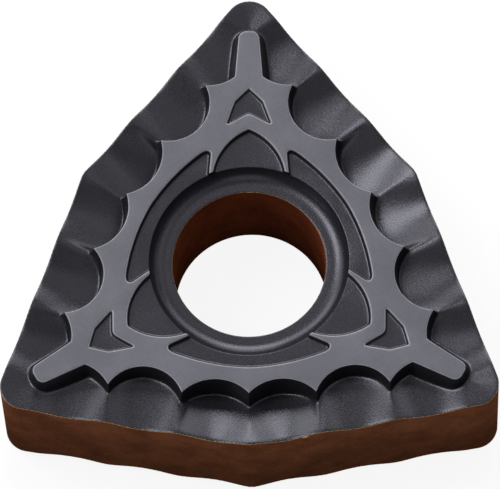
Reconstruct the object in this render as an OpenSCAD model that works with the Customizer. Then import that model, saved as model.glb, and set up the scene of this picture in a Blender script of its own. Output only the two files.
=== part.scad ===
// Indexable turning insert of trigon form, sintered in one piece and clamped through its hole.
// Millimetres, Z up. The origin is in the middle of the clamping hole, halfway up the insert.
// The insert is double sided: its lower half is the mirror image of its upper half.

/* [Blank] */
// Diameter of the circle that touches all six sides
inscribed_d = 12.7; // [12.2:0.1:13.6]
// Height from a seat face to the cutting corners of the other side
thickness = 4.76; // [4.4:0.02:5.6]
// Height of a seat face above the cutting corners of its own side
seat_step = 0.34; // [0.28:0.01:0.45]
// Radius of the three cutting corners
nose_r = 0.8; // [0.6:0.05:1]
// Angle of the three cutting corners
corner_angle = 80; // [79:0.5:82]
// Width of the small flat that breaks each of the three blunt corners
blunt_flat = 0.2; // [0.1:0.02:0.4]
// Diameter of the clamping hole
hole_d = 5.16; // [4.8:0.02:5.4]

/* [Cutting edge] */
// Depth of the dips in the cutting edge below the cutting corners
edge_dip = 0.21; // [0.15:0.01:0.3]
// Height of the crests in the cutting edge above its dips
edge_wave = 0.3; // [0.2:0.01:0.36]
// Length of straight edge between the last scallop and the cutting corner
nose_land = 0.31; // [0.2:0.01:0.5]

/* [Scallops] */
// Slope of the walls that climb from the scallops to the seat face
wall_angle = 55; // [50:1:65]
// How far the scallop by the blunt corner is set in from the side
blunt_inset = 0.44; // [0.35:0.01:0.55]
// How far the middle scallop is set in from the side
middle_inset = 0.65; // [0.55:0.01:0.75]
// How far the scallop by the cutting corner is set in from the side
sharp_inset = 0.28; // [0.2:0.01:0.4]
// How much wider than half a pitch the radius of the scallop by the blunt corner is
blunt_lap = 0.31; // [0.25:0.01:0.4]
// How much wider than half a pitch the radius of the middle scallop is
middle_lap = 0.14; // [0.1:0.01:0.25]
// How much wider than half a pitch the radius of the scallop by the cutting corner is
sharp_lap = 0.28; // [0.2:0.01:0.35]
// Distance from the sides to the points of the seat face between the scallops
point_inset = 1.32; // [1.28:0.01:1.4]

/* [Corner ribs] */
// Width of the rib to each cutting corner, at its root
rib_root_w = 0.92; // [0.8:0.02:1]
// Width of the rib to each cutting corner, near its tip
rib_tip_w = 0.67; // [0.5:0.01:0.75]
// Distance from the tip of the rib to the tip of the cutting corner
rib_tip_gap = 1.17; // [1:0.01:1.4]
// Radius of the tip of the rib
rib_tip_r = 0.45; // [0.4:0.01:0.6]

/* [Seat pockets] */
// Width of the dished ring round the hole
ring_w = 0.79; // [0.7:0.01:0.85]
// Depth of the hole's rim below the seat face
rim_depth = 0.5; // [0.4:0.01:0.6]
// Small step from the floor of the pockets down to the ring
ring_step = 0.03; // [0.02:0.01:0.06]
// Depth of the pockets that open into the ring
pocket_depth = 0.17; // [0.1:0.01:0.25]
// Length of the pointed pocket from the ring to its tip
point_len = 1.34; // [1.2:0.01:1.4]
// Radius of the sides of the pointed pocket
point_r = 2.04; // [1.9:0.01:2.2]
// Distance of the centres of those sides from the pocket's axis
point_offset = 0.78; // [0.7:0.01:0.85]
// Width of the long pocket, from the ring outwards
long_w = 0.5; // [0.4:0.01:0.6]
// Length of the long pocket, square to its axis
long_len = 5.36; // [5:0.02:5.5]
// Radius of the outer wall of the long pocket
long_r = 7.03; // [6.6:0.01:7.4]
// Distance of the centres of that wall from the pocket's axis
long_offset = 0.19; // [0.1:0.01:0.3]
// Width of the thin rib between two pockets
pocket_rib = 0.12; // [0.1:0.01:0.16]
// Depth of the arrow pockets
arrow_depth = 0.12; // [0.08:0.01:0.2]
// Width of an arrow across its shoulders
arrow_shoulder_w = 1; // [0.8:0.02:1.1]
// Width of an arrow across its wings
arrow_wing_w = 1.54; // [1.4:0.02:1.6]
// Length of an arrow's slanting point, from its tip to its shoulders
arrow_point_len = 0.5; // [0.4:0.02:0.55]
// How far the wings of an arrow reach back past its notch
arrow_wing_len = 0.35; // [0.2:0.01:0.4]
// Width of the blunt end of a wing
arrow_wing_end = 0.12; // [0.08:0.01:0.2]
// Land from the tip of an arrow to the root of the corner rib
arrow_tip_land = 0.37; // [0.3:0.01:0.45]
// Land from the notch of an arrow to the tip of the pointed pocket
arrow_notch_land = 0.47; // [0.45:0.01:0.55]

/* [Hidden] */

$fn = 128;
// Overshoot of a cut past the face that it opens
over = 0.2;
corners = 3;
scallops = 3;
// Turn from one cutting corner to the next, and direction of the blunt corner beside the first
step = 360 / corners;
blunt_angle = 90 - step / 2;

side_n = inscribed_d / 2;
half_angle = corner_angle / 2;
seat_z = (thickness + seat_step) / 2;
nose_z = seat_z - seat_step;
dip_z = nose_z - edge_dip;
// Plane inside the blank that the raised seat starts from
root_z = dip_z - over;

// Along a side, measured from the foot of the square from the hole's axis
blunt_t = -side_n * tan(half_angle - blunt_angle);
tangent_t = (side_n - nose_r) / tan(half_angle);
nose_y = (side_n - nose_r) / sin(half_angle);
tip_y = nose_y + nose_r;

pitch = (tangent_t - blunt_t - nose_land) / scallops;
wave_r = (edge_wave * edge_wave + pitch * pitch / 4) / (2 * edge_wave);
insets = [blunt_inset, middle_inset, sharp_inset];
laps = [blunt_lap, middle_lap, sharp_lap];
function scallop_t(k) = blunt_t + pitch * (k + 0.5);
function scallop_n(k) = side_n - insets[k];
function scallop_r(k) = pitch / 2 + laps[k];
// How far a wall spreads from the seat face down to the height z
function spread(z) = (seat_z - z) / tan(wall_angle);

hole_r = hole_d / 2;
ring_r = hole_r + ring_w;
point_tip = ring_r + point_len;
long_reach = ring_r + long_w;

// Place on the corner's axis where the last scallops meet the sides of the corner rib
last = scallops - 1;
last_x = scallop_n(last) * cos(half_angle) - scallop_t(last) * sin(half_angle);
last_y = scallop_n(last) * sin(half_angle) + scallop_t(last) * cos(half_angle);
root_y = last_y - sqrt(pow(scallop_r(last), 2) - pow(last_x - rib_root_w / 2, 2));
rib_tip = tip_y - rib_tip_gap;
rib_taper = atan((rib_root_w - rib_tip_w) / 2 / (rib_tip - rib_tip_r - root_y));

arrow_tip = root_y - arrow_tip_land;
arrow_notch = point_tip + arrow_notch_land;

// Repeats a shape drawn about the axis of the cutting corner on +Y
module at_corners() {
  for (i = [0 : corners - 1]) rotate(i * step) children();
}

// Repeats a shape drawn with +X square to a side and +Y along it towards the cutting corner
module at_half_sides() {
  at_corners() for (m = [0, 1]) mirror([m, 0, 0]) rotate(half_angle) children();
}

// Outline with its blunt corners broken and its cutting corners cut off at the ends of their arcs
module outline() {
  blunt_start = blunt_t + blunt_flat / 2 / cos(half_angle - blunt_angle);
  side = [for (t = [blunt_start, tangent_t])
    [side_n * cos(half_angle) - t * sin(half_angle), side_n * sin(half_angle) + t * cos(half_angle)]];
  corner = concat(side, [for (i = [1 : -1 : 0]) [-side[i].x, side[i].y]]);
  polygon([for (i = [0 : corners - 1], p = corner)
    [p.x * cos(i * step) - p.y * sin(i * step), p.x * sin(i * step) + p.y * cos(i * step)]]);
}

// Upper half of the blank up to the seat plane, with round cutting corners
module blank() {
  linear_extrude(seat_z) outline();
  at_corners() translate([0, nose_y, 0]) cylinder(h = seat_z, r = nose_r);
}

// Trough that runs out through the side and gives the cutting edge one dip
module trough(k) {
  start = side_n - pitch - laps[k];
  translate([start, scallop_t(k), dip_z + wave_r])
    rotate([0, 90, 0])
      cylinder(h = side_n - start + over, r = wave_r);
}

// Flat cut round the cutting corner, from the lowest line of one last trough to the other
module nose_cut() {
  apex_y = scallop_t(last) / cos(half_angle);
  reach = tip_y - apex_y + over;
  translate([0, apex_y, nose_z])
    linear_extrude(seat_step + over)
      polygon([[0, 0], [reach, reach * tan(half_angle)], [0, 2 * reach], [-reach, reach * tan(half_angle)]]);
}

// Round well that one scallop sinks into the raised seat
module well(k) {
  translate([scallop_n(k), scallop_t(k), root_z - over])
    cylinder(h = seat_z - root_z + 2 * over,
      r1 = scallop_r(k) - spread(root_z - over),
      r2 = scallop_r(k) - spread(seat_z + over));
}

// Slope that ends the seat's points between the scallops
module point_slope() {
  translate([side_n - point_inset, 2 * blunt_t, seat_z])
    rotate([0, wall_angle, 0])
      translate([-over, 0, 0])
        cube([thickness, tangent_t - 3 * blunt_t, thickness]);
}

// Raised web that carries the seat face, cut off just past the roots of the corner ribs
module web() {
  difference() {
    translate([0, 0, root_z]) linear_extrude(seat_z - root_z) outline();
    at_half_sides() {
      for (k = [0 : last]) well(k);
      point_slope();
    }
    at_corners() translate([-rib_root_w / 2, root_y + over, root_z - over])
      cube([rib_root_w, tip_y - root_y, seat_z - root_z + 2 * over]);
  }
}

// Rib that runs out to a cutting corner, narrower at its tip and sloping on all sides
module corner_rib() {
  centre_y = rib_tip - rib_tip_r;
  side_len = tip_y - root_y;
  difference() {
    union() {
      translate([-rib_root_w, root_y - over, root_z])
        cube([2 * rib_root_w, centre_y - root_y + over, seat_z - root_z]);
      translate([0, centre_y, root_z])
        cylinder(h = seat_z - root_z, r1 = rib_tip_r + spread(root_z), r2 = rib_tip_r);
    }
    for (m = [0, 1]) mirror([m, 0, 0])
      translate([rib_root_w / 2, root_y, seat_z])
        rotate(rib_taper)
          rotate([0, wall_angle, 0])
            translate([-over, -side_len, 0])
              cube([thickness, 2 * side_len, thickness]);
  }
}

// Shallow arrow between the corner rib and the pointed pocket
module arrow() {
  wing_x = arrow_wing_w / 2;
  wing_y = arrow_notch - arrow_wing_len;
  right = [[arrow_shoulder_w / 2, arrow_tip - arrow_point_len], [wing_x, wing_y], [wing_x - arrow_wing_end, wing_y]];
  left = [for (i = [len(right) - 1 : -1 : 0]) [-right[i].x, right[i].y]];
  translate([0, 0, seat_z - arrow_depth])
    linear_extrude(arrow_depth + over)
      polygon(concat([[0, arrow_tip]], right, [[0, arrow_notch]], left));
}

// Two arcs that meet in a point on the +Y axis, as a solid column
module lens(reach, r, offset_x, h) {
  intersection_for (m = [0, 1])
    mirror([m, 0, 0])
      translate([-offset_x, reach - sqrt(r * r - offset_x * offset_x), 0])
        cylinder(h = h, r = r);
}

// Pointed pocket that opens into the ring on a cutting corner's axis
module pointed_pocket() {
  intersection() {
    translate([0, 0, seat_z - pocket_depth]) lens(point_tip, point_r, point_offset, pocket_depth + over);
    translate([-point_r, hole_r, 0]) cube([2 * point_r, point_tip, seat_z + over]);
  }
}

// Long pocket that opens into the ring on a blunt corner's axis
module long_pocket() {
  difference() {
    intersection() {
      translate([0, 0, seat_z - pocket_depth]) lens(long_reach, long_r, long_offset, pocket_depth + over);
      translate([-long_len / 2, ring_r / 2, 0]) cube([long_len, long_reach, seat_z + over]);
    }
    for (m = [-1, 1]) rotate(m * step / 2)
      lens(point_tip + pocket_rib, point_r + pocket_rib, point_offset, seat_z + over);
  }
}

// Dished ring that falls from a small step in the pockets' floor to the rim of the hole
module ring() {
  dish_h = rim_depth - pocket_depth - ring_step;
  translate([0, 0, seat_z - rim_depth])
    cylinder(h = dish_h, r1 = hole_r, r2 = ring_r);
  translate([0, 0, seat_z - rim_depth + dish_h])
    cylinder(h = rim_depth - dish_h + over, r = ring_r);
}

// Upper half with its seat face whole, from the middle plane up
module plain_half() {
  difference() {
    blank();
    at_half_sides() for (k = [0 : last]) trough(k);
    at_corners() nose_cut();
  }
  web();
  at_corners() corner_rib();
}

// Upper half of the insert, with the pockets in its seat face
module upper_half() {
  difference() {
    difference() {
      plain_half();
      at_corners() {
        arrow();
        pointed_pocket();
        rotate(step / 2) long_pocket();
      }
    }
    ring();
  }
}

// The whole insert, lying on its lower seat face
module insert_body() {
  color("#4a4340")
    difference() {
      union() {
        upper_half();
        mirror([0, 0, 1]) upper_half();
      }
      cylinder(h = 2 * thickness, r = hole_r, center = true);
    }
}

insert_body();
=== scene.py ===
import logging
from dataclasses import dataclass, field
from enum import Enum
from math import acos, atan2, cos, degrees, hypot, pi, radians, sin, sqrt, tan

import bpy
from mathutils import Matrix, Vector


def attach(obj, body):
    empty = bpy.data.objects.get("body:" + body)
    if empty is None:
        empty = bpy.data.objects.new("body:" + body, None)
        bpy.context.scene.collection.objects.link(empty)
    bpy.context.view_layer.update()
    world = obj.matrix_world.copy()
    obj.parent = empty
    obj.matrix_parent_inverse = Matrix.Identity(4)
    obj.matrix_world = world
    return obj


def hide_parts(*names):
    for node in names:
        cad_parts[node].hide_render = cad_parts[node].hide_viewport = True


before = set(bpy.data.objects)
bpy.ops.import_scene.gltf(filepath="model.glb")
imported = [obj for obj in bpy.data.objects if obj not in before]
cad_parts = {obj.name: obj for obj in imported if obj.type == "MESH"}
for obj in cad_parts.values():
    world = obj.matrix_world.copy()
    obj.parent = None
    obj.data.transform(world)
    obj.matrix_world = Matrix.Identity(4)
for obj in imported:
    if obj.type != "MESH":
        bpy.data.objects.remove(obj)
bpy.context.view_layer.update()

Point = tuple[float, float]
Pair = tuple[float, float]
Place = tuple[float, float, float]
Colour = tuple[float, float, float]
Mark = tuple[Place, float, Colour]
Piece = bpy.types.Object
Socket = bpy.types.NodeSocket
Groups = dict[str, bpy.types.NodeTree]

LOG = logging.getLogger("insert")
MM = 0.001
# Angle between two cutting corners, and the direction of the first one, in degrees
SECTOR = 120.0
CORNER = 90.0
# Sides of a turned form, and chords of a long arc
ROUND_SIDES = 192
ARC_STEPS = 40
# Vertices closer than this are one, in millimetres
SAME = 0.0001
# How uneven the noise of a coating is, and the part of its range that is used
NOISE_ROUGH = 0.6
NOISE_SPAN = (0.25, 0.75)
# Least share by which a corner of an outline is moved, so that a sharp one stays near
SHARPEST = 0.2


class Cut(Enum):
    """What a Boolean modifier does with its second solid."""

    AWAY = "DIFFERENCE"
    ONTO = "UNION"


def mirror_at(point: Point, angle: float) -> Point:
    """Mirrors a point in the line through the origin at the angle.

    Args:
        point: Where it is in plan.
        angle: Angle of the line in degrees.

    Returns:
        The point on the other side of the line.
    """
    c, s = cos(radians(2 * angle)), sin(radians(2 * angle))
    return (point[0] * c + point[1] * s, point[0] * s - point[1] * c)


def arc(centre: Point, r: float, start: float, end: float, steps: int) -> list[Point]:
    """Points along an arc.

    Args:
        centre: Centre of the arc.
        r: Its radius.
        start: Angle of the first point in degrees.
        end: Angle of the last point in degrees.
        steps: Number of chords.

    Returns:
        The points, with both ends.
    """
    turns = [start + (end - start) * i / steps for i in range(steps + 1)]
    return [(centre[0] + r * cos(radians(a)), centre[1] + r * sin(radians(a))) for a in turns]


def inset(points: list[Point], distance: float) -> list[Point]:
    """Moves each edge of a closed outline inwards.

    Args:
        points: The outline, counter-clockwise.
        distance: How far the edges move in; a negative one moves them out.

    Returns:
        The new outline, with as many points.
    """
    moved = []
    for i, here in enumerate(points):
        before, after = points[i - 1], points[(i + 1) % len(points)]
        one = Vector((here[0] - before[0], here[1] - before[1])).normalized()
        two = Vector((after[0] - here[0], after[1] - here[1])).normalized()
        normal = Vector((-one.y - two.y, one.x + two.x)).normalized()
        reach = distance / max(SHARPEST, normal.dot(Vector((-one.y, one.x))))
        moved.append((here[0] + normal.x * reach, here[1] + normal.y * reach))
    return moved


def deselect() -> None:
    """Leaves object mode with nothing selected."""
    if bpy.context.object and bpy.context.object.mode != "OBJECT":
        bpy.ops.object.mode_set(mode="OBJECT")
    bpy.ops.object.select_all(action="DESELECT")


def pick(piece: Piece) -> None:
    """Makes a piece the only selected and the active one.

    Args:
        piece: The piece to work on.
    """
    deselect()
    piece.select_set(True)
    bpy.context.view_layer.objects.active = piece


def edit_all() -> None:
    """Goes to edit mode with the whole piece selected."""
    bpy.ops.object.mode_set(mode="EDIT")
    bpy.ops.mesh.select_all(action="SELECT")


def apply_modifier(piece: Piece, kind: str, **values: object) -> None:
    """Adds a modifier to the active piece and applies it.

    Args:
        piece: The piece.
        kind: The modifier's type.
        values: Its settings.
    """
    change = piece.modifiers.new(kind.lower(), kind)
    for name, value in values.items():
        setattr(change, name, value)
    bpy.ops.object.modifier_apply(modifier=change.name)


def taken(name: str) -> Piece:
    """Names the primitive that was just added.

    Args:
        name: Its name and that of its mesh.

    Returns:
        The primitive.
    """
    piece = bpy.context.object
    piece.name = name
    piece.data.name = name
    return piece


def prism(name: str, foot: list[Point], foot_z: float, head: list[Point], head_z: float) -> Piece:
    """A solid between two outlines with as many points, one above the other.

    Args:
        name: Name of the solid.
        foot: Lower outline, counter-clockwise.
        foot_z: Height of the lower outline.
        head: Upper outline.
        head_z: Height of the upper outline.

    Returns:
        The solid.
    """
    deselect()
    bpy.ops.mesh.primitive_circle_add(vertices=len(foot), radius=1, fill_type="NGON")
    piece = taken(name)
    for vertex, place in zip(piece.data.vertices, foot):
        vertex.co = (*place, foot_z)
    edit_all()
    bpy.ops.mesh.extrude_region_move(TRANSFORM_OT_translate={"value": (0, 0, head_z - foot_z)})
    bpy.ops.object.mode_set(mode="OBJECT")
    raised = [v for v in piece.data.vertices if v.select]
    for vertex in raised:
        away = [hypot(vertex.co.x - x, vertex.co.y - y) for x, y in foot]
        vertex.co = (*head[away.index(min(away))], head_z)
    return outwards(piece)


def outwards(piece: Piece) -> Piece:
    """Turns a closed solid's faces outwards.

    Args:
        piece: The solid.

    Returns:
        The same solid.
    """
    pick(piece)
    edit_all()
    bpy.ops.mesh.normals_make_consistent(inside=False)
    bpy.ops.object.mode_set(mode="OBJECT")
    return piece


def cone(name: str, centre: Point, foot: Pair, head: Pair, sides: int = ROUND_SIDES) -> Piece:
    """An upright cone or cylinder.

    Args:
        name: Name of the solid.
        centre: Its axis in plan.
        foot: Radius and height of its lower end.
        head: Radius and height of its upper end.
        sides: Number of its sides.

    Returns:
        The solid.
    """
    deselect()
    bpy.ops.mesh.primitive_cone_add(
        vertices=sides,
        radius1=foot[0],
        radius2=head[0],
        depth=head[1] - foot[1],
        location=(*centre, (foot[1] + head[1]) / 2),
    )
    piece = taken(name)
    bpy.ops.object.transform_apply(location=True, rotation=True, scale=True)
    return piece


def combine(piece: Piece, tool: Piece, how: Cut) -> None:
    """Cuts a solid away from a piece or joins it on, and removes it.

    Args:
        piece: The piece that changes.
        tool: The solid that is used up.
        how: Whether it is cut away or joined on.
    """
    pick(piece)
    apply_modifier(piece, "BOOLEAN", operation=how.value, solver="MANIFOLD", object=tool)
    bpy.data.objects.remove(tool)


def mirrored_copy(piece: Piece, angle: float) -> Piece:
    """A copy of a solid, mirrored in the upright plane through the origin at the angle.

    Args:
        piece: The solid.
        angle: Angle of the plane in degrees.

    Returns:
        The copy, with its faces outwards.
    """
    pick(piece)
    bpy.ops.object.duplicate()
    twin = bpy.context.object
    c, s = cos(radians(2 * angle)), sin(radians(2 * angle))
    twin.data.transform(Matrix(((c, s, 0, 0), (s, -c, 0, 0), (0, 0, 1, 0), (0, 0, 0, 1))))
    return outwards(twin)


@dataclass
class Trigon:
    """The blank's form: three cutting corners of 80 degrees and three blunt ones, in millimetres.

    A place on a side is given by n, its distance from the hole's axis square to the side, and t, its
    distance along the side towards the cutting corner.
    """

    inscribed_r: float = 6.38
    half_angle: float = 40.0
    blunt_angle: float = 30.0
    nose_r: float = 0.8
    blunt_flat: float = 0.2
    seat_z: float = 2.55
    nose_z: float = 2.21
    tip_y: float = 7.95
    margin: float = 0.4
    nose_end: float = 120.0

    def place(self, n: float, t: float) -> Point:
        """Plan point of a place on the side."""
        c, s = cos(radians(self.half_angle)), sin(radians(self.half_angle))
        return (n * c - t * s, n * s + t * c)

    def blunt_t(self) -> float:
        """Place of the blunt corner along the side."""
        return -self.inscribed_r * tan(radians(self.half_angle - self.blunt_angle))

    def tangent_t(self) -> float:
        """Place along the side where the round of the cutting corner starts."""
        return (self.inscribed_r - self.nose_r) / tan(radians(self.half_angle))

    def nose_y(self) -> float:
        """Centre of the round of the cutting corner on its axis."""
        return (self.inscribed_r - self.nose_r) / sin(radians(self.half_angle))

    def gap(self, x: float, y: float) -> float:
        """Distance in plan from a point of the first wedge to the outline.

        Args:
            x: Distance from the cutting corner's axis.
            y: Distance along that axis.

        Returns:
            The distance, positive inside.
        """
        c, s = cos(radians(self.half_angle)), sin(radians(self.half_angle))
        n, t = abs(x) * c + y * s, y * c - abs(x) * s
        if t > self.tangent_t():
            return self.nose_r - hypot(x, y - self.nose_y())
        return self.inscribed_r - n

    def wedge(self) -> list[Point]:
        """One sixth of the blank, from the axis of a cutting corner to that of a blunt one.

        Returns:
            The outline, counter-clockwise, with a margin past both axes.
        """
        lean = radians(self.half_angle - self.blunt_angle)
        flat_t = self.blunt_t() + self.blunt_flat / 2 / cos(lean)
        margin_t = self.blunt_t() + self.margin / cos(lean)
        ends = [self.place(self.inscribed_r, t) for t in (margin_t, flat_t)]
        past = [mirror_at(end, self.blunt_angle) for end in ends]
        side = [self.place(self.inscribed_r, flat_t)]
        nose = arc((0, self.nose_y()), self.nose_r, self.half_angle, self.nose_end, ARC_STEPS)
        foot = (-self.margin, -self.margin * sqrt(3))
        return past + side + nose + [foot]

    def folded(self, x: float, y: float) -> Point:
        """Turns and mirrors a plan point into the first wedge.

        Args:
            x: The point's first part.
            y: Its second part.

        Returns:
            The point of the first wedge that lies like it.
        """
        blunt, sector = radians(self.blunt_angle), radians(SECTOR)
        turn = atan2(y, x) % sector
        away = abs(turn - blunt) if turn < blunt + sector / 2 else blunt + sector - turn
        r = hypot(x, y)
        return (r * cos(away + blunt), r * sin(away + blunt))


@dataclass
class CornerRib:
    """The rib that runs from the web to the cutting corner, with sloping sides and a flat front."""

    form: Trigon
    root_y: float = 6.2
    root_half: float = 0.49
    tip_half: float = 0.34
    tip_y: float = 8.22
    corner_r: float = 0.25
    corner_start: float = 2.0
    corner_steps: int = 12
    wall_angle: float = 70.0
    foot_z: float = 1.3

    def outline(self) -> list[Point]:
        """The rib's top.

        Returns:
            The outline, counter-clockwise.
        """
        centre = (self.tip_half - self.corner_r, self.tip_y - self.corner_r)
        right = arc(centre, self.corner_r, self.corner_start, 90, self.corner_steps)
        left = [(-x, y) for x, y in reversed(right)]
        return [(-self.root_half, self.root_y), (self.root_half, self.root_y)] + right + left

    def build(self) -> Piece:
        """The rib as a solid."""
        head = self.outline()
        spread = (self.form.seat_z - self.foot_z) / tan(radians(self.wall_angle))
        return prism("rib", inset(head, -spread), self.foot_z, head, self.form.seat_z)


@dataclass
class ChipGroove:
    """The rake face: three scallops a side that run out in a wavy edge, and a flat round the nose."""

    form: Trigon
    # Depth of the waves in the edge, length of edge without them beside the nose, and waves on a half side
    dip: float = 0.21
    land: float = 0.34
    scallops: int = 3
    # For each scallop: how its sides curve, how far inside the edge its circle's centre is, and how much
    # wider than half a wave that circle is
    bowls: tuple[float, ...] = (1.0, 1.2, 1.25)
    insets: tuple[float, ...] = (0.47, 0.68, 0.31)
    laps: tuple[float, ...] = (0.31, 0.14, 0.28)
    # Fall of each scallop's floor and of the nose's flat for each millimetre inwards
    rakes: tuple[float, ...] = (0.25, 0.1, 0.09)
    nose_rake: float = 0.12
    nose_reach: float = 1.1
    # Level land behind the edge, and the lengths over which falls and crests change
    rake_land: float = 0.06
    land_blend: float = 0.1
    slope_blend: float = 0.5
    round_n: float = 5.1
    # Reach, heights and fineness of the cutter
    inner_n: float = 3.5
    over: float = 0.4
    before: float = 1.2
    past: float = 2.0
    ceiling: float = 2.9
    top_z: float = 3.2
    rows: int = 80
    column: float = 0.04

    def pitch(self) -> float:
        """Distance from one scallop to the next."""
        return (self.form.tangent_t() - self.form.blunt_t() - self.land) / self.scallops

    def middle(self, k: int) -> float:
        """Place of a scallop's lowest line along the side."""
        return self.form.blunt_t() + self.pitch() * (k + 0.5)

    def well(self, k: int) -> Place:
        """The n, t and radius of the circle that a scallop cuts into the seat face."""
        r = self.pitch() / 2 + self.laps[k]
        return (self.form.inscribed_r - self.insets[k], self.middle(k), r)

    def lift(self, t: float, out: float) -> float:
        """How far the rake face stands above the scallops' lowest lines.

        Args:
            t: Place along the side.
            out: 0 at the web, where the crests are sharp, to 1 at the edge, where they are round.

        Returns:
            The height above the lowest lines.
        """
        away, k = min((abs(t - self.middle(k)), k) for k in range(self.scallops))
        share = min(1.0, away / (self.pitch() / 2)) ** self.bowls[k]
        sharp = share * share
        rounded = (1 - cos(pi * share)) / 2
        return self.dip * (sharp + (rounded - sharp) * out)

    def slope(self, t: float) -> float:
        """How steeply the rake face falls away from the cutting edge.

        Args:
            t: Place along the side.

        Returns:
            The fall for each millimetre inwards.
        """
        slopes = [*self.rakes, self.nose_rake]
        limits = [self.form.blunt_t() + self.pitch() * k for k in range(1, self.scallops)]
        limits.append(self.middle(self.scallops - 1) + self.nose_reach)
        value = slopes[0]
        for limit, following in zip(limits, slopes[1:]):
            share = min(1.0, max(0.0, (t - limit) / self.slope_blend + 0.5))
            value += (following - value) * share * share * (3 - 2 * share)
        return value

    def height(self, n: float, t: float) -> float:
        """Height of the rake face.

        Args:
            n: Place square to the side.
            t: Place along the side.

        Returns:
            The height above the middle plane.
        """
        x, y = self.form.place(n, t)
        if x < 0:
            c, s = cos(radians(self.form.half_angle)), sin(radians(self.form.half_angle))
            n, t = -x * c + y * s, x * s + y * c
        out = min(1.0, max(0.0, (n - self.round_n) / (self.form.inscribed_r - self.round_n)))
        in_by = self.form.gap(x, y) - self.rake_land
        if in_by <= self.land_blend:
            in_by = max(0.0, in_by + self.land_blend) ** 2 / (4 * self.land_blend)
        return self.form.nose_z - self.dip + self.lift(t, out) - self.slope(t) * in_by

    def cutter(self) -> Piece:
        """The solid above the rake face of one half side."""
        width = self.form.inscribed_r + self.over - self.inner_n
        rows = [self.inner_n + width * i / self.rows for i in range(self.rows + 1)]
        crests = [self.form.blunt_t() - self.before, self.form.blunt_t()]
        crests += [self.form.blunt_t() + self.pitch() * k for k in range(1, self.scallops + 1)]
        crests.append(self.form.tangent_t() + self.past)
        columns = [crests[0]]
        for low, high in zip(crests, crests[1:]):
            count = max(2, round((high - low) / self.column))
            columns += [low + (high - low) * i / count for i in range(1, count + 1)]
        deselect()
        wide, long = len(rows) - 1, len(columns) - 1
        bpy.ops.mesh.primitive_grid_add(x_subdivisions=wide, y_subdivisions=long, size=2)
        piece = taken("groove_cutter")
        for vertex in piece.data.vertices:
            n = rows[round((vertex.co.x + 1) / 2 * wide)]
            t = columns[round((vertex.co.y + 1) / 2 * long)]
            vertex.co = (*self.form.place(n, t), min(self.ceiling, self.height(n, t)))
        edit_all()
        bpy.ops.mesh.extrude_region_move(TRANSFORM_OT_translate={"value": (0, 0, 1)})
        bpy.ops.object.mode_set(mode="OBJECT")
        for vertex in piece.data.vertices:
            if vertex.select:
                vertex.co.z = self.top_z
        return outwards(piece)


@dataclass
class SeatWeb:
    """The raised web that carries the seat face, with round wells sunk in its sides."""

    form: Trigon
    groove: ChipGroove
    wall_angle: float = 79.0
    foot_z: float = 1.2
    tip_r: float = 1.3
    tip_angle: float = 89.0
    over: float = 0.2

    def well(self, k: int) -> Piece:
        """The cone that one scallop sinks into the web."""
        n, t, r = self.groove.well(k)
        return self.sink(f"well_{k}", self.form.place(n, t), r, self.wall_angle)

    def sink(self, name: str, centre: Point, r: float, angle: float) -> Piece:
        """A cone that cuts a round well.

        Args:
            name: Name of the cone.
            centre: Its axis in plan.
            r: Its radius at the seat face.
            angle: Angle of its wall in degrees.

        Returns:
            The cone, a little longer than the web is high.
        """
        low = r - (self.form.seat_z - self.foot_z + self.over) / tan(radians(angle))
        high = r + self.over / tan(radians(angle))
        foot = (low, self.foot_z - self.over)
        return cone(name, centre, foot, (high, self.form.seat_z + self.over))

    def build(self) -> Piece:
        """Cuts the wells into the web.

        Returns:
            The web over one sixth of the blank.
        """
        outline = self.form.wedge()
        web = prism("web", outline, self.foot_z, outline, self.form.seat_z)
        tools = [self.well(k) for k in range(self.groove.scallops)]
        tools.append(mirrored_copy(tools[0], self.form.blunt_angle))
        tools.append(mirrored_copy(tools[self.groove.scallops - 1], CORNER))
        tip = (0, self.form.tip_y + self.tip_r)
        tools.append(self.sink("tip_well", tip, self.tip_r, self.tip_angle))
        for tool in tools:
            combine(web, tool, Cut.AWAY)
        return web


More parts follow.
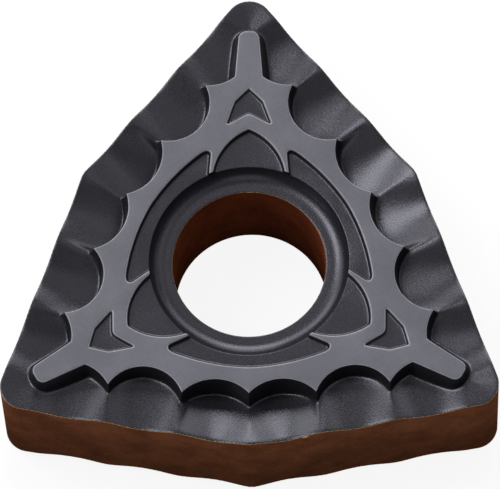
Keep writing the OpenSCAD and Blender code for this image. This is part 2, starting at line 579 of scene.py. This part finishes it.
@dataclass
class SeatPockets:
    """The arrow, the pointed pocket and the long pocket that are pressed into the seat face."""

    form: Trigon
    arrow_depth: float = 0.12
    arrow_wall: float = 0.08
    pocket_depth: float = 0.17
    pocket_wall: float = 0.09
    over: float = 0.1
    arrow_tip: float = 6.2
    arrow_notch: float = 5.2
    # Right side of the arrow, from its tip to its notch
    arrow_side: tuple[Point, ...] = (
        (0.26, 5.95), (0.5, 5.7), (0.6, 5.42), (0.78, 4.9),
        (0.76, 4.85), (0.67, 4.85), (0.3, 5.06), (0.1, 5.17),
    )
    point_centre: Point = (-0.784, 2.818)
    point_r: float = 2.043
    point_start: float = -16.0
    # The long pocket's outer arc, round end and inner corners, with a blunt corner's axis as first axis
    long_centre: Point = (-3.16, -0.185)
    long_r: float = 7.03
    end_centre: Point = (3.115, 2.555)
    end_r: float = 0.165
    end_lean: Pair = (-0.6, 8.0)
    end_turn: float = 165.0
    end_steps: int = 14
    heel: tuple[Point, ...] = ((2.71, 2.073), (2.55, 1.733))

    def sink(self, name: str, outline: list[Point], depth: float, wall: float) -> Piece:
        """A cutter whose walls close in towards its floor.

        Args:
            name: Name of the cutter.
            outline: Outline at the seat face, counter-clockwise.
            depth: Depth of the floor below the seat face.
            wall: Width of the walls in plan.

        Returns:
            The cutter.
        """
        top, floor = inset(outline, -wall * self.over / depth), inset(outline, wall)
        return prism(name, floor, self.form.seat_z - depth, top, self.form.seat_z + self.over)

    def arrow(self) -> Piece:
        """The arrow that points to the cutting corner."""
        left = [(-x, y) for x, y in self.arrow_side]
        right = list(reversed(self.arrow_side))
        outline = [(0, self.arrow_tip), *left, (0, self.arrow_notch), *right]
        return self.sink("arrow_cutter", outline, self.arrow_depth, self.arrow_wall)

    def pointed(self) -> Piece:
        """The pocket between two arcs that meet on the corner's axis."""
        end = degrees(acos(-self.point_centre[0] / self.point_r))
        right = arc(self.point_centre, self.point_r, self.point_start, end, ARC_STEPS)
        left = [(-x, y) for x, y in reversed(right[:-1])]
        return self.sink("pointed_cutter", right + left, self.pocket_depth, self.pocket_wall)

    def long(self) -> Piece:
        """The pocket that follows the ring past a blunt corner's axis."""
        (u, v), end, r = self.long_centre, self.end_centre, self.long_r
        lean = degrees(atan2(end[1] - v, end[0] - u))
        start = degrees(atan2(-v, sqrt(r * r - v**2)))
        half = arc(self.long_centre, r, start, lean + self.end_lean[0], ARC_STEPS)
        half += arc(end, self.end_r, lean + self.end_lean[1], self.end_turn, self.end_steps)
        half += self.heel
        other = [(u, -v) for u, v in reversed(half[1:])]
        c, s = cos(radians(self.form.blunt_angle)), sin(radians(self.form.blunt_angle))
        outline = [(u * c - v * s, u * s + v * c) for u, v in half + other]
        return self.sink("long_cutter", outline, self.pocket_depth, self.pocket_wall)


@dataclass
class ClampHole:
    """The clamping hole and the dished ring round it."""

    form: Trigon
    hole_r: float = 2.58
    ring_r: float = 3.36
    # Depth of the ring at the hole and at its outer edge, turn of its curve, and share that is level
    rim_depth: float = 0.5
    brow_depth: float = 0.17
    brow_turn: float = 66.0
    level_share: float = 0.3
    curve_steps: int = 14
    brow_step: float = 0.05
    over: float = 0.4
    inside: float = 0.3
    bore_low: float = -1.0
    bore_high: float = 4.0
    bore_sides: int = 256

    def ring(self) -> Piece:
        """The dish, level at the hole and steep at its outer edge."""
        top = self.form.seat_z - self.brow_depth
        low = self.form.seat_z - self.rim_depth
        full = radians(self.brow_turn)
        level_r = self.hole_r + (self.ring_r - self.hole_r) * self.level_share
        inner_r, high = self.hole_r - self.inside, self.form.seat_z + self.over
        profile = [(inner_r, low)]
        for i in range(self.curve_steps + 1):
            turn = full * i / self.curve_steps
            out, up = sin(turn) / sin(full), (1 - cos(turn)) / (1 - cos(full))
            profile.append((level_r + (self.ring_r - level_r) * out, low + (top - low) * up))
        profile += [(self.ring_r, top + self.brow_step), (self.ring_r, high), (inner_r, high)]
        return lathe("ring_cutter", profile, ROUND_SIDES)

    def bore(self) -> Piece:
        """The hole itself."""
        foot, head = (self.hole_r, self.bore_low), (self.hole_r, self.bore_high)
        return cone("bore_cutter", (0, 0), foot, head, self.bore_sides)


def lathe(name: str, profile: list[Point], steps: int) -> Piece:
    """A ring turned from a closed profile.

    Args:
        name: Name of the solid.
        profile: Radius and height of each corner.
        steps: Number of steps in the turn.

    Returns:
        The solid.
    """
    deselect()
    bpy.ops.mesh.primitive_circle_add(vertices=len(profile), radius=1, fill_type="NOTHING")
    piece = taken(name)
    for vertex, (r, z) in zip(piece.data.vertices, profile):
        vertex.co = (r, 0, z)
    edit_all()
    bpy.ops.mesh.spin(steps=steps, angle=2 * pi, center=(0, 0, 0), axis=(0, 0, 1))
    bpy.ops.mesh.select_all(action="SELECT")
    bpy.ops.mesh.remove_doubles(threshold=SAME)
    bpy.ops.object.mode_set(mode="OBJECT")
    return outwards(piece)


@dataclass
class InsertBody:
    """The whole insert: one twelfth is shaped, and the rest are its mirror images and turned copies."""

    form: Trigon = field(default_factory=Trigon)
    # Fineness of the skin, rounds of smoothing all over and at the feet, and triangles of a twelfth
    voxel: float = 0.02
    rounds: int = 7
    foot_rounds: int = 40
    triangles: int = 16000
    # How near to a cut a vertex is put back on it, and how near vertices are merged
    seam_reach: float = 0.008
    seam_merge: float = 0.0005
    cut_reach: float = 0.00001
    web_lap: float = 0.02
    # Heights and radius between which feet are smoothed, and their distance from the outline
    soft_top: float = 2.36
    soft_fade: float = 0.1
    soft_low: float = 0.8
    soft_r: float = 4.2
    edge_gap: float = 0.12
    edge_fade: float = 0.25
    flat_weight: int = 50

    def rough(self) -> Piece:
        """Cuts and joins the solids of one sixth of the upper half.

        Returns:
            The sixth with all its edges sharp.
        """
        groove = ChipGroove(self.form)
        outline = self.form.wedge()
        top_z = self.form.seat_z - self.web_lap
        body = prism("insert", outline, -self.form.margin, outline, top_z)
        cutter = groove.cutter()
        twin = mirrored_copy(cutter, self.form.blunt_angle)
        combine(body, cutter, Cut.AWAY)
        combine(body, twin, Cut.AWAY)
        combine(body, SeatWeb(self.form, groove).build(), Cut.ONTO)
        combine(body, CornerRib(self.form).build(), Cut.ONTO)
        pockets = SeatPockets(self.form)
        hole = ClampHole(self.form)
        for tool in (pockets.arrow(), pockets.pointed(), pockets.long(), hole.ring(), hole.bore()):
            combine(body, tool, Cut.AWAY)
        return body

    def soften(self, body: Piece) -> None:
        """Turns the sharp solid into an even skin with its edges a little rounded.

        Args:
            body: The sharp sixth.
        """
        pick(body)
        apply_modifier(body, "REMESH", mode="VOXEL", voxel_size=self.voxel)
        floors = body.vertex_groups.new(name="floors")
        for vertex in body.data.vertices:
            floors.add([vertex.index], self.floor_share(vertex.co), "REPLACE")
        for rounds, group in ((self.foot_rounds, floors.name), (self.rounds, "")):
            apply_modifier(body, "SMOOTH", factor=0.5, iterations=rounds, vertex_group=group)

    def floor_share(self, place: Vector) -> float:
        """How far a point takes part in the rounding of the scallops' floors and the walls' feet.

        Args:
            place: The point, in millimetres.

        Returns:
            0 for not at all, to 1.
        """
        r = hypot(place.x, place.y)
        x, y = place.x, place.y
        if atan2(y, x) < radians(self.form.blunt_angle):
            x, y = mirror_at((x, y), self.form.blunt_angle)
        low = min(1.0, max(0.0, (self.soft_top - place.z) / self.soft_fade))
        inner = min(1.0, max(0.0, (self.form.gap(x, y) - self.edge_gap) / self.edge_fade))
        return low * inner if r > self.soft_r and place.z > self.soft_low else 0.0

    def trim(self, body: Piece) -> None:
        """Cuts off the margins, thins the skin where it is flat and puts its rim back on the cuts.

        Args:
            body: The skin.
        """
        pick(body)
        lean = radians(self.form.blunt_angle)
        planes = [Vector((-1, 0, 0)), Vector((sin(lean), -cos(lean), 0)), Vector((0, 0, -1))]
        bpy.ops.object.mode_set(mode="EDIT")
        for normal in planes:
            bpy.ops.mesh.select_all(action="SELECT")
            bpy.ops.mesh.bisect(
                plane_co=(0, 0, 0), plane_no=normal, clear_outer=True, threshold=self.cut_reach
            )
        bpy.ops.object.mode_set(mode="OBJECT")
        count = sum(len(p.vertices) - 2 for p in body.data.polygons)
        apply_modifier(body, "DECIMATE", ratio=self.triangles / count)
        bpy.ops.object.mode_set(mode="EDIT")
        bpy.ops.mesh.select_mode(type="VERT")
        bpy.ops.mesh.select_all(action="DESELECT")
        bpy.ops.mesh.select_non_manifold()
        bpy.ops.object.mode_set(mode="OBJECT")
        rim = [vertex for vertex in body.data.vertices if vertex.select]
        for vertex in rim:
            for normal in planes:
                off = vertex.co.dot(normal)
                if abs(off) < self.seam_reach:
                    vertex.co -= normal * off

    def assemble(self, body: Piece) -> Piece:
        """Mirrors and copies the twelfth.

        Args:
            body: The twelfth, in millimetres.

        Returns:
            The whole insert, in metres.
        """
        pick(body)
        axes = (True, False, True)
        apply_modifier(body, "MIRROR", use_axis=axes, use_mirror_merge=True, merge_threshold=SAME)
        copies = [body]
        for turn in (1, 2):
            pick(body)
            bpy.ops.object.duplicate()
            twin = bpy.context.object
            twin.data.transform(Matrix.Rotation(turn * radians(SECTOR), 4, "Z"))
            copies.append(twin)
        deselect()
        for piece in copies:
            piece.select_set(True)
        bpy.context.view_layer.objects.active = body
        bpy.ops.object.join()
        edit_all()
        bpy.ops.mesh.remove_doubles(threshold=self.seam_merge)
        bpy.ops.mesh.normals_make_consistent(inside=False)
        bpy.ops.object.mode_set(mode="OBJECT")
        body.data.transform(Matrix.Scale(MM, 4))
        bpy.ops.object.shade_smooth()
        apply_modifier(body, "WEIGHTED_NORMAL", keep_sharp=True, weight=self.flat_weight)
        return body

    def build(self) -> Piece:
        """Shapes the whole insert and hands it to the frame.

        Returns:
            The insert.
        """
        body = self.rough()
        LOG.info("rough: %d faces", len(body.data.polygons))
        self.soften(body)
        LOG.info("skin: %d faces", len(body.data.polygons))
        self.trim(body)
        LOG.info("thinned: %d faces", len(body.data.polygons))
        self.assemble(body)
        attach(body, "root")
        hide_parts("insert_body")
        return body


class Wiring:
    """Places and joins the nodes of one tree."""

    def __init__(self, tree: bpy.types.NodeTree) -> None:
        """Keeps the tree that the nodes go to."""
        self.tree = tree

    def node(self, kind: str, **values: object) -> bpy.types.Node:
        """Adds a node.

        Args:
            kind: Its type.
            values: Its own properties.

        Returns:
            The node.
        """
        added = self.tree.nodes.new(kind)
        for name, value in values.items():
            setattr(added, name, value)
        return added

    def feed(self, socket: Socket, value: object) -> None:
        """Joins an output to an input, or sets the input's value.

        Args:
            socket: The input.
            value: The output, or a plain value.
        """
        if isinstance(value, Socket):
            self.tree.links.new(value, socket)
        else:
            socket.default_value = value

    def maths(self, operation: str, *values: object) -> Socket:
        """Adds a Math node.

        Args:
            operation: What it works out.
            values: Its inputs.

        Returns:
            Its output.
        """
        added = self.node("ShaderNodeMath", operation=operation)
        for socket, value in zip(added.inputs, values):
            self.feed(socket, value)
        return added.outputs[0]

    def step(self, value: object, low: float, high: float) -> Socket:
        """Rises smoothly from 0 to 1 as the value goes from low to high.

        Args:
            value: The value.
            low: Where the output is still 0.
            high: Where the output is 1.

        Returns:
            The output.
        """
        added = self.node("ShaderNodeMapRange", interpolation_type="SMOOTHSTEP")
        for socket, given in zip(added.inputs, (value, low, high, 0.0, 1.0)):
            self.feed(socket, given)
        return added.outputs[0]

    def parts(self, vector: Socket) -> list[Socket]:
        """Splits a vector into its three parts."""
        added = self.node("ShaderNodeSeparateXYZ")
        self.feed(added.inputs[0], vector)
        return list(added.outputs)

    def scaled(self, vector: Socket, by: object) -> Socket:
        """Multiplies a vector or a colour by a number.

        Args:
            vector: The vector or colour.
            by: The number.

        Returns:
            The longer or brighter one.
        """
        added = self.node("ShaderNodeVectorMath", operation="SCALE")
        self.feed(added.inputs[0], vector)
        self.feed(added.inputs["Scale"], by)
        return added.outputs[0]

    def blend(self, share: object, one: object, two: object, colours: bool = False) -> Socket:
        """Mixes two numbers or two colours.

        Args:
            share: Share of the second one, from 0 to 1.
            one: The first one.
            two: The second one.
            colours: Whether they are colours.

        Returns:
            The mixed one.
        """
        added = self.node("ShaderNodeMix", data_type="RGBA" if colours else "FLOAT")
        first = 6 if colours else 2
        for place, value in ((0, share), (first, one), (first + 1, two)):
            self.feed(added.inputs[place], value)
        return added.outputs[2 if colours else 0]

    def mix(self, share: object, one: object, two: object) -> Socket:
        """Mixes two colours by the share of the second one."""
        return self.blend(share, one, two, colours=True)


def rgba(colour: Colour) -> tuple[float, float, float, float]:
    """Adds a full alpha to a colour."""
    return (*colour, 1.0)


def place_group() -> bpy.types.NodeTree:
    """The node group that tells where a point of the surface lies on the insert.

    Returns:
        A group with the outputs Point (millimetres), Radius, Height (above or below the middle plane)
        and Level (1 where the surface is level, 0 where it is upright).
    """
    group = bpy.data.node_groups.new("insert_place", "ShaderNodeTree")
    group.interface.new_socket("Point", in_out="OUTPUT", socket_type="NodeSocketVector")
    for name in ("Radius", "Height", "Level"):
        group.interface.new_socket(name, in_out="OUTPUT", socket_type="NodeSocketFloat")
    w = Wiring(group)
    point = w.scaled(w.node("ShaderNodeTexCoord").outputs["Object"], 1 / MM)
    x, y, z = w.parts(point)
    squares = w.maths("ADD", w.maths("MULTIPLY", x, x), w.maths("MULTIPLY", y, y))
    normal = w.parts(w.node("ShaderNodeNewGeometry").outputs["Normal"])
    end = w.node("NodeGroupOutput")
    height, level = w.maths("ABSOLUTE", z), w.maths("ABSOLUTE", normal[2])
    values = (point, w.maths("SQRT", squares), height, level)
    for socket, value in zip(end.inputs, values):
        w.feed(socket, value)
    return group


def grain_group() -> bpy.types.NodeTree:
    """The node group for the fine grain of a sintered and coated surface.

    Returns:
        A group with the inputs Point, Grain (grains per millimetre) and Cloud (clouds per millimetre),
        and the outputs Grain and Cloud, both from 0 to 1.
    """
    group = bpy.data.node_groups.new("coat_grain", "ShaderNodeTree")
    group.interface.new_socket("Point", in_out="INPUT", socket_type="NodeSocketVector")
    for name in ("Grain", "Cloud"):
        group.interface.new_socket(name, in_out="INPUT", socket_type="NodeSocketFloat")
        group.interface.new_socket(name, in_out="OUTPUT", socket_type="NodeSocketFloat")
    w = Wiring(group)
    start, end = w.node("NodeGroupInput"), w.node("NodeGroupOutput")
    for k, (name, detail) in enumerate((("Grain", 5.0), ("Cloud", 3.0))):
        noise = w.node("ShaderNodeTexNoise")
        w.feed(noise.inputs["Vector"], start.outputs["Point"])
        w.feed(noise.inputs["Scale"], start.outputs[name])
        noise.inputs["Detail"].default_value = detail
        noise.inputs["Roughness"].default_value = NOISE_ROUGH
        w.feed(end.inputs[k], w.step(noise.outputs[0], *NOISE_SPAN))
    return group


@dataclass(frozen=True)
class Coating:
    """What all coatings of the insert have in common.

    The bump is a height in millimetres, and grain and cloud are numbers for each millimetre. A shade is
    how much a mask from 0 to 1 adds to the lightness, and what it adds to.
    """

    name: str
    rough: float
    specular: float
    bump: float
    grain: float
    cloud: float
    cloud_shade: Pair = (0.3, 0.85)
    grain_shade: Pair = (0.2, 0.9)
    grain_rough: float = 0.06

    def start(self, groups: Groups) -> tuple[bpy.types.Material, Wiring, dict[str, object]]:
        """Makes the material with its bump, and the masks that colours are mixed by.

        Args:
            groups: The node groups by name.

        Returns:
            The material, its wiring, and its shader and masks by name.
        """
        material = bpy.data.materials.new(self.name)
        material.use_nodes = True
        w = Wiring(material.node_tree)
        shader = material.node_tree.nodes["Principled BSDF"]
        place = w.node("ShaderNodeGroup", node_tree=groups["place"])
        grain = w.node("ShaderNodeGroup", node_tree=groups["grain"])
        w.feed(grain.inputs["Point"], place.outputs["Point"])
        grain.inputs["Grain"].default_value = self.grain
        grain.inputs["Cloud"].default_value = self.cloud
        bump = w.node("ShaderNodeBump")
        bump.inputs["Strength"].default_value = 1.0
        bump.inputs["Distance"].default_value = self.bump * MM
        w.feed(bump.inputs["Height"], grain.outputs["Grain"])
        w.feed(shader.inputs["Normal"], bump.outputs[0])
        shader.inputs["Specular IOR Level"].default_value = self.specular
        masks = {name: place.outputs[name] for name in ("Point", "Radius", "Height", "Level")}
        masks |= {"grain": grain.outputs["Grain"], "cloud": grain.outputs["Cloud"], "shader": shader}
        return material, w, masks

    def shade(self, w: Wiring, masks: dict[str, object]) -> Socket:
        """How light the clouds and the grain make the coating.

        Args:
            w: The material's wiring.
            masks: Its masks by name.

        Returns:
            The number that the colour is multiplied by.
        """
        cloud = w.maths("MULTIPLY_ADD", masks["cloud"], *self.cloud_shade)
        return w.maths("MULTIPLY", cloud, w.maths("MULTIPLY_ADD", masks["grain"], *self.grain_shade))


@dataclass(frozen=True)
class RakeCoating(Coating):
    """The dark grey coating of the rake faces, pockets and walls, and the ground seat face, with a
    highlight painted on the seat face's rounded rim.

    Heights are in millimetres from the middle plane, and a level is 1 on a level face and 0 on a wall.
    """

    base: Colour = (0.0125, 0.0122, 0.0155)
    seat: Colour = (0.102, 0.102, 0.121)
    # Painted highlight: a lighter colour on the seat face's rounded rim
    rim: Colour = (0.3, 0.3, 0.33)
    tint: Colour = (0.87, 0.86, 1.0)
    seat_rough: float = 0.5
    seat_heights: Pair = (2.515, 2.542)
    seat_levels: Pair = (0.93, 0.995)
    rim_highlight_heights: Pair = (2.48, 2.525)
    rim_highlight_levels: Pair = (0.9, 0.995)
    rim_highlight_round_levels: Pair = (0.3, 0.6)

    def build(self, groups: Groups) -> bpy.types.Material:
        """Makes the material, lighter on the seat face, with a highlight painted on its rounded rim.

        Args:
            groups: The node groups by name.

        Returns:
            The material.
        """
        material, w, m = self.start(groups)
        shader = m["shader"]
        shader.inputs["Specular Tint"].default_value = rgba(self.tint)
        height, level = m["Height"], m["Level"]
        seat = w.maths("MULTIPLY", w.step(height, *self.seat_heights), w.step(level, *self.seat_levels))
        # The seat face's rounded rim, where the highlight is painted
        tilted = w.maths("SUBTRACT", 1.0, w.step(level, *self.rim_highlight_levels))
        rim = w.maths("MULTIPLY", w.step(height, *self.rim_highlight_heights), tilted)
        rim = w.maths("MULTIPLY", rim, w.step(level, *self.rim_highlight_round_levels))
        colour = w.mix(seat, rgba(self.base), rgba(self.seat))
        colour = w.mix(rim, colour, rgba(self.rim))
        w.feed(shader.inputs["Base Color"], w.scaled(colour, self.shade(w, m)))
        rough = w.maths("SUBTRACT", w.blend(seat, self.rough, self.seat_rough), self.grain_rough / 2)
        rough = w.maths("MULTIPLY_ADD", m["grain"], self.grain_rough, rough)
        w.feed(shader.inputs["Roughness"], rough)
        return material


@dataclass(frozen=True)
class FlankCoating(Coating):
    """The brown coating of the flanks and the hole, with a bronze highlight painted along the cutting
    edge.
    """

    base: Colour = (0.097, 0.035, 0.0165)
    hole: Colour = (0.11, 0.028, 0.012)
    # Painted highlight: bronze on the rounded cutting edge
    edge_highlight: Colour = (0.6, 0.36, 0.18)
    cloud_shade: Pair = (0.5, 0.76)
    grain_shade: Pair = (0.3, 0.85)
    grain_rough: float = 0.1
    hole_reach: float = 4.0
    edge_highlight_levels: Pair = (0.1, 0.45)
    # Height of the flank, and how light the flank and the hole are made by painted shade at its foot and
    # painted light at its top
    flank_heights: Pair = (-2.6, 2.6)
    foot_painted_shades: Pair = (0.56, 0.17)
    top_painted_lights: Pair = (1.16, 1.34)
    # Two faint dark patches on the front blunt corner and a light bronze spot near the cutting edge: place
    # and size in millimetres, and colour
    marks: tuple[Mark, ...] = (
        ((0.02, -6.47, -1.1), 0.55, (0.05, 0.018, 0.01)),
        ((-0.06, -6.47, 0.4), 0.6, (0.075, 0.028, 0.014)),
        ((1.86, -6.16, 2.08), 0.16, (0.75, 0.5, 0.26)),
    )
    mark_core: float = 0.3
    mark_grain: Pair = (0.5, 1.0)

    def build(self, groups: Groups) -> bpy.types.Material:
        """Makes the material, with painted shade that darkens it towards its foot and painted light
        towards its top, a bronze highlight painted on its edge, and its marks.

        Args:
            groups: The node groups by name.

        Returns:
            The material.
        """
        material, w, m = self.start(groups)
        shader = m["shader"]
        hole = w.maths("LESS_THAN", m["Radius"], self.hole_reach)
        # Painted shade and light: the flank, and the hole most of all, darker towards the foot and lighter
        # towards the top
        depth = w.step(w.parts(m["Point"])[2], *self.flank_heights)
        light = w.blend(depth, w.blend(hole, *self.foot_painted_shades), w.blend(hole, *self.top_painted_lights))
        colour = w.mix(hole, rgba(self.base), rgba(self.hole))
        colour = w.scaled(colour, w.maths("MULTIPLY", self.shade(w, m), light))
        # The bronze highlight is painted where the flank turns level at the cutting edge
        colour = w.mix(w.step(m["Level"], *self.edge_highlight_levels), colour, rgba(self.edge_highlight))
        for place, size, spot_colour in self.marks:
            off = w.node("ShaderNodeVectorMath", operation="DISTANCE")
            w.feed(off.inputs[0], m["Point"])
            off.inputs[1].default_value = place
            outside = w.step(off.outputs["Value"], size * self.mark_core, size)
            inside = w.maths("SUBTRACT", 1.0, outside)
            share = w.maths("MULTIPLY", inside, w.blend(m["grain"], *self.mark_grain))
            colour = w.mix(share, colour, rgba(spot_colour))
        w.feed(shader.inputs["Base Color"], colour)
        rough = w.maths("MULTIPLY_ADD", m["grain"], self.grain_rough, self.rough)
        w.feed(shader.inputs["Roughness"], rough)
        return material


class Face(Enum):
    """Where a face of the insert lies, and so which coating it has."""

    RAKE = 0
    WALL = 1
    FLANK = 2


@dataclass
class Dressing:
    """Gives each face of the insert its coating, by its slope and its place."""

    form: Trigon
    # A flank is this near to the hole's axis or the outline, and it and a wall are less level than this
    hole_r: float = 2.62
    edge_gap: float = 0.045
    flank_level: float = 0.8
    wall_level: float = 0.78

    def face(self, x: float, y: float, level: float) -> Face:
        """Tells which coating a face has.

        Args:
            x: First part of its middle in plan.
            y: Second part of its middle.
            level: 1 where the face is level, to 0 where it is upright.

        Returns:
            The kind of face.
        """
        outer = self.form.gap(*self.form.folded(x, y)) < self.edge_gap
        if level < self.flank_level and (outer or hypot(x, y) < self.hole_r):
            return Face.FLANK
        return Face.WALL if level < self.wall_level else Face.RAKE

    def coat(self, body: Piece) -> None:
        """Makes the three materials and gives each face its own.

        Args:
            body: The whole insert, in metres.
        """
        groups = {"place": place_group(), "grain": grain_group()}
        fine = {"bump": 0.0015, "grain": 14, "cloud": 0.5}
        coarse = {"bump": 0.003, "grain": 10, "cloud": 0.8}
        finishes = {
            Face.RAKE: RakeCoating("rake_coating", rough=0.27, specular=0.56, **fine),
            Face.WALL: RakeCoating("wall_coating", rough=0.45, specular=0.15, **fine),
            Face.FLANK: FlankCoating("flank_coating", rough=0.5, specular=0.0, **coarse),
        }
        body.data.materials.clear()
        for face in Face:
            body.data.materials.append(finishes[face].build(groups))
        for polygon in body.data.polygons:
            place = polygon.center / MM
            polygon.material_index = self.face(place.x, place.y, abs(polygon.normal.z)).value


@dataclass
class Studio:
    """A white floor, soft lights and the camera at the picture's angle.

    Angles are in degrees, and the target, the distance and the floor's height in millimetres. The soft
    boxes' reach and size and the floor's size are in metres.
    """

    elevation: float = 69.374
    azimuth: float = 3.062
    roll: float = -3.296
    distance: float = 249.64
    focal_px: float = 7368.0
    width_px: float = 500.0
    sensor: float = 36.0
    target: Place = (-0.0146, 1.4714, 0.0)
    near: float = 0.001
    far: float = 10.0
    floor_z: float = -2.56
    floor_size: float = 6.0
    floor_rough: float = 0.9
    bounce: float = 0.1
    glow: float = 0.9
    fill: float = 0.03
    box_reach: float = 1.2
    box_size: float = 0.5
    # Direction in plan from +X, height above the floor, and power in watts of each soft box
    boxes: tuple[tuple[float, float, float], ...] = (
        (45, 12, 0.5), (90, 12, 1.6), (135, 12, 0.8), (208, 12, 2.2),
        (22, 32, 0.4), (64, 32, 1.9), (92, 36, 4.9), (123, 30, 2.9), (152, 36, 1.5),
        (156, 60, 6.3), (180, 50, 0.3), (0, 55, 0.5), (34, 56, 0.7), (100, 62, 0.1),
        (30, 72, 0.1), (88, 72, 0.38), (150, 75, 0.2), (210, 70, 0.25), (330, 70, 0.25),
        (270, 58, 0.8),
    )

    def camera(self) -> None:
        """Makes the scene's camera."""
        el, az, roll = radians(self.elevation), radians(self.azimuth), radians(self.roll)
        back = Vector((sin(az) * cos(el), -cos(az) * cos(el), sin(el)))
        right = Vector((cos(az), sin(az), 0))
        up = back.cross(right)
        turned_right = right * cos(roll) + up * sin(roll)
        turned_up = up * cos(roll) - right * sin(roll)
        eye = (Vector(self.target) + back * self.distance) * MM
        deselect()
        bpy.ops.object.camera_add()
        camera = bpy.context.object
        camera.name = "camera"
        turned = Matrix((turned_right, turned_up, back)).transposed().to_4x4()
        camera.matrix_world = Matrix.Translation(eye) @ turned
        camera.data.sensor_fit = "HORIZONTAL"
        camera.data.sensor_width = self.sensor
        camera.data.lens = self.focal_px * self.sensor / self.width_px
        camera.data.clip_start = self.near
        camera.data.clip_end = self.far
        bpy.context.scene.camera = camera

    def floor(self) -> None:
        """Makes the floor that the insert lies on."""
        deselect()
        height = self.floor_z * MM
        bpy.ops.mesh.primitive_plane_add(size=self.floor_size, location=(0, 0, height))
        floor = taken("floor")
        bpy.ops.object.transform_apply(location=True, rotation=True, scale=True)
        material = bpy.data.materials.new("floor_finish")
        material.use_nodes = True
        shader = material.node_tree.nodes["Principled BSDF"]
        shader.inputs["Base Color"].default_value = rgba((self.bounce,) * 3)
        shader.inputs["Emission Color"].default_value = rgba((1.0,) * 3)
        shader.inputs["Emission Strength"].default_value = self.glow
        shader.inputs["Roughness"].default_value = self.floor_rough
        shader.inputs["Specular IOR Level"].default_value = 0.0
        floor.data.materials.append(material)

    def soft_box(self, azimuth: float, elevation: float, power: float) -> None:
        """Adds a square soft box that faces the insert.

        Args:
            azimuth: Its direction in plan, in degrees from +X.
            elevation: Its height above the floor in degrees.
            power: Its power in watts.
        """
        az, el = radians(azimuth), radians(elevation)
        out = Vector((cos(az) * cos(el), sin(az) * cos(el), sin(el)))
        deselect()
        bpy.ops.object.light_add(type="AREA", location=out * self.box_reach)
        lamp = bpy.context.object
        lamp.name = f"soft_box_{azimuth}_{elevation}"
        lamp.rotation_euler = out.to_track_quat("Z", "Y").to_euler()
        lamp.data.shape = "SQUARE"
        lamp.data.size = self.box_size
        lamp.data.energy = power

    def light(self) -> None:
        """Makes the soft studio light, most of it from the back and the left."""
        for azimuth, elevation, power in self.boxes:
            self.soft_box(azimuth, elevation, power)
        world = bpy.data.worlds.new("studio_world")
        world.use_nodes = True
        back = world.node_tree.nodes["Background"]
        back.inputs["Color"].default_value = rgba((1.0,) * 3)
        back.inputs["Strength"].default_value = self.fill
        scene = bpy.context.scene
        scene.world = world
        scene.view_settings.view_transform = "Standard"

    def build(self) -> None:
        """Sets up the whole studio."""
        self.camera()
        self.floor()
        self.light()


def main() -> None:
    """Builds the insert and its studio."""
    logging.basicConfig(level=logging.INFO, format="%(name)s: %(message)s")
    insert = InsertBody()
    body = insert.build()
    Dressing(insert.form).coat(body)
    LOG.info("%s: %d faces", body.name, len(body.data.polygons))
    Studio().build()


if __name__ == "__main__":
    main()
